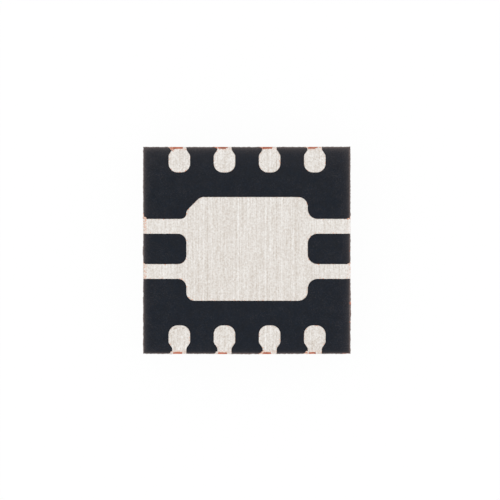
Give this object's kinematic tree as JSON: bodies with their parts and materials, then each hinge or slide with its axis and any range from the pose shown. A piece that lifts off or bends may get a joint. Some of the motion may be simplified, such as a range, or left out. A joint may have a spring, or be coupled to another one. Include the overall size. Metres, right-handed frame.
{
  "type": "voltage regulator chip",
  "caption": "Square leadless voltage regulator package, solder side up, with keyhole terminals along opposite edges and an exposed die pad held by tie bars.",
  "frame": {"origin": "centre of the moulding's marked face, which lies on the ground plane", "axes": "+Z out of the solder face, +Y towards the row of terminals 1 to 4, +X towards terminals 4 and 5. The chip lies on its marked face, solder side up, as in the picture. On a board it is turned over, so -Z is up and +Z is soldered down."},
  "size_m": [0.003, 0.003, 0.0009],
  "materials": {
    "mould_compound": "matte, blue-black",
    "copper": "bare sawn copper",
    "matte_tin": "matte with fine brush lines",
    "die_glue": "silver-filled glue",
    "silicon": "polished grey",
    "bond_wire": "drawn gold"
  },
  "bodies": {
    "root": {"mold_body": "mould_compound", "die_pad": "copper", "pad_plating": "matte_tin", "die_attach": "die_glue", "silicon_die": "silicon", "ground_bond_wire": "bond_wire", "lead_1": "copper", "lead_2": "copper", "lead_3": "copper", "lead_4": "copper", "lead_5": "copper", "lead_6": "copper", "lead_7": "copper", "lead_8": "copper", "lead_plating_1": "matte_tin", "lead_plating_2": "matte_tin", "lead_plating_3": "matte_tin", "lead_plating_4": "matte_tin", "lead_plating_5": "matte_tin", "lead_plating_6": "matte_tin", "lead_plating_7": "matte_tin", "lead_plating_8": "matte_tin", "bond_wire_1": "bond_wire", "bond_wire_2": "bond_wire", "bond_wire_3": "bond_wire", "bond_wire_4": "bond_wire", "bond_wire_5": "bond_wire", "bond_wire_6": "bond_wire", "bond_wire_7": "bond_wire", "bond_wire_8": "bond_wire"}
  },
  "joints": []
}
